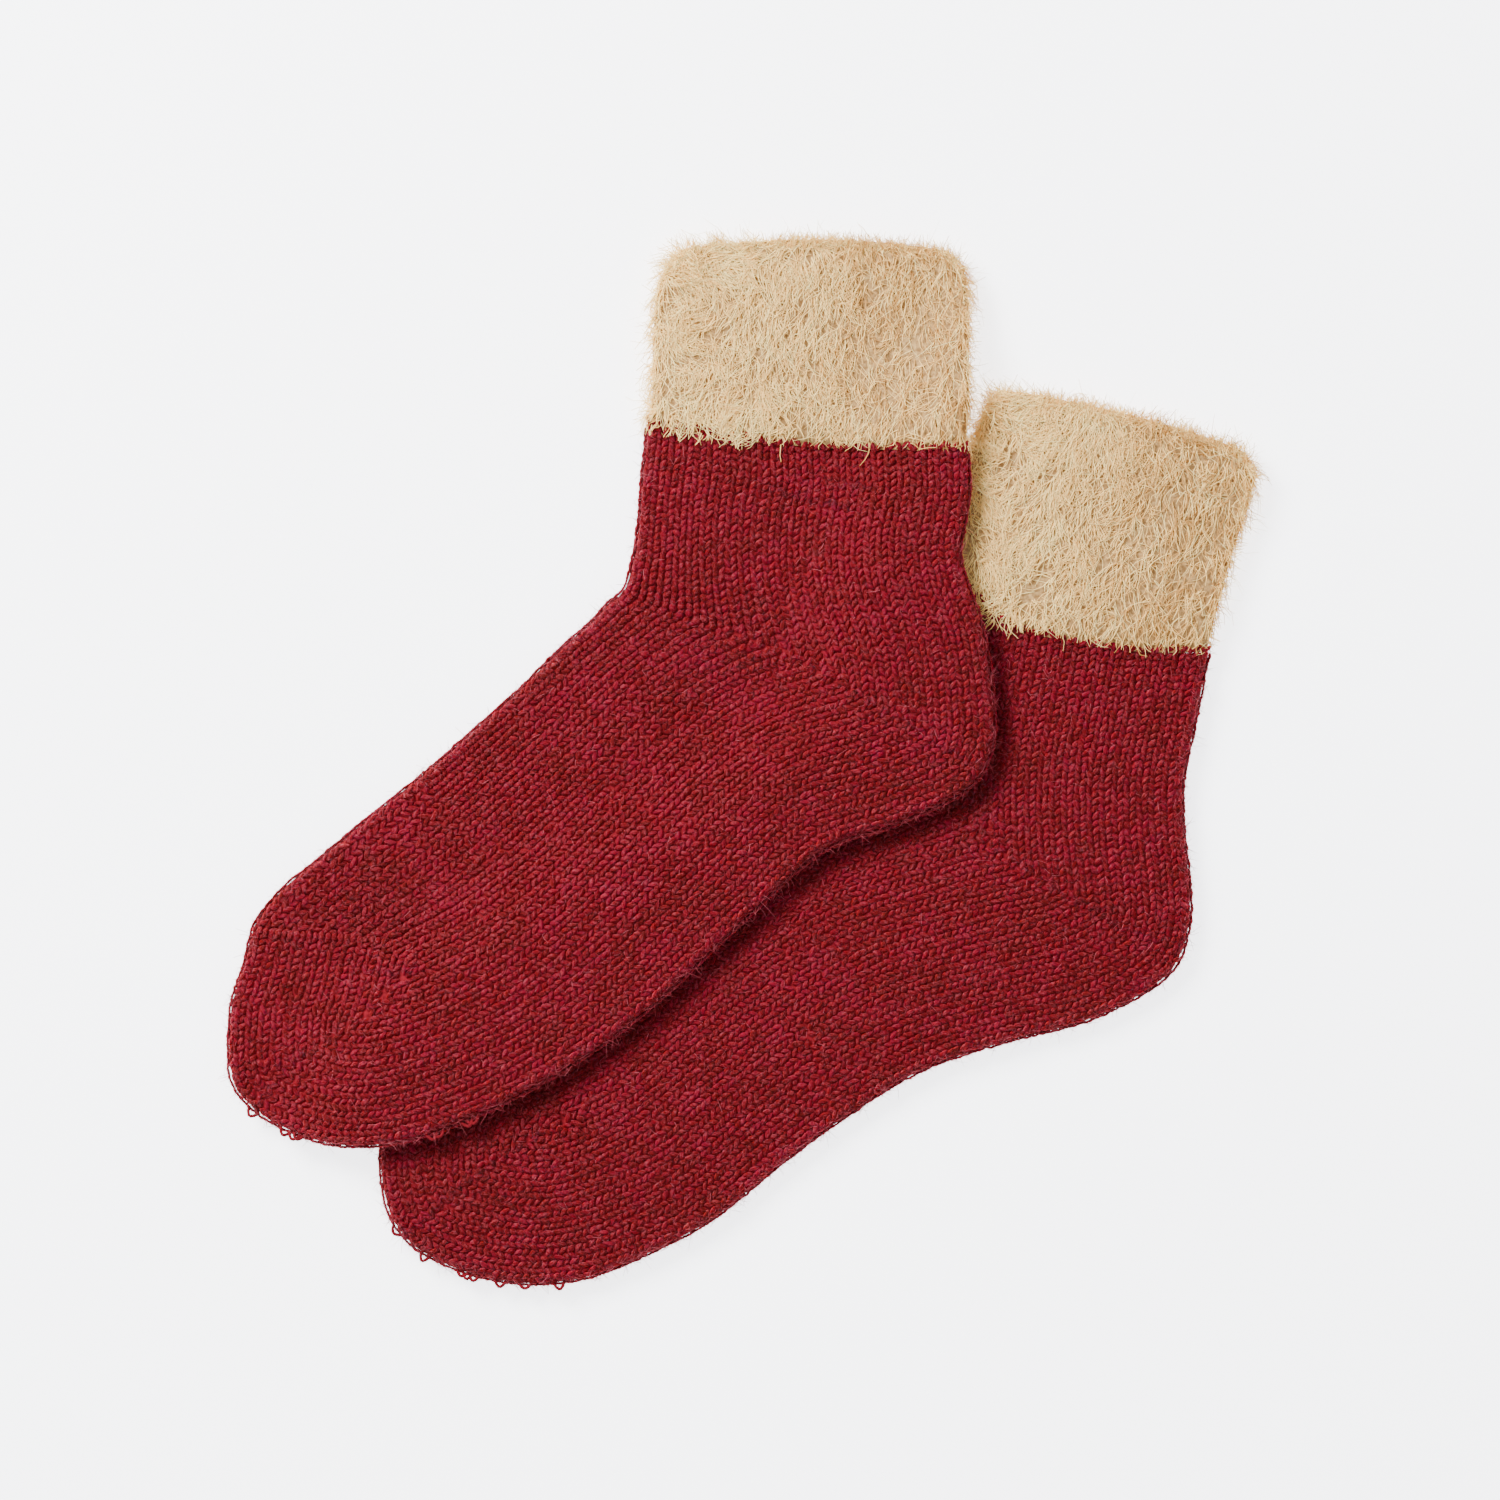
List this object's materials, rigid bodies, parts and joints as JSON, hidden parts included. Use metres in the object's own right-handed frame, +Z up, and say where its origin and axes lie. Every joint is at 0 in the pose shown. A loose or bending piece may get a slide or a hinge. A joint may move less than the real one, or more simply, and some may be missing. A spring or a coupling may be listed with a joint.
{
  "type": "pair of house socks",
  "caption": "Thick knitted house socks laid flat, one over the other, with a turned heel, a closed toe and a brushed, fluffy cuff.",
  "frame": {"origin": "on the surface the pair lies on, under the middle of its box", "axes": "+Z up from the surface, +Y from the toes toward the cuffs, +X from the toes toward the heels"},
  "size_m": [0.288, 0.2922, 0.0168],
  "materials": {
    "marled_red_knit": "bulky wool stockinette, marled crimson and brick red, softly hairy and matt",
    "brushed_cream_knit": "brushed mohair-like knit in warm cream, with long fine hairs"
  },
  "bodies": {
    "root": {"front_sock_body": "marled_red_knit", "front_sock_cuff": "brushed_cream_knit", "rear_sock_body": "marled_red_knit", "rear_sock_cuff": "brushed_cream_knit"}
  },
  "joints": []
}
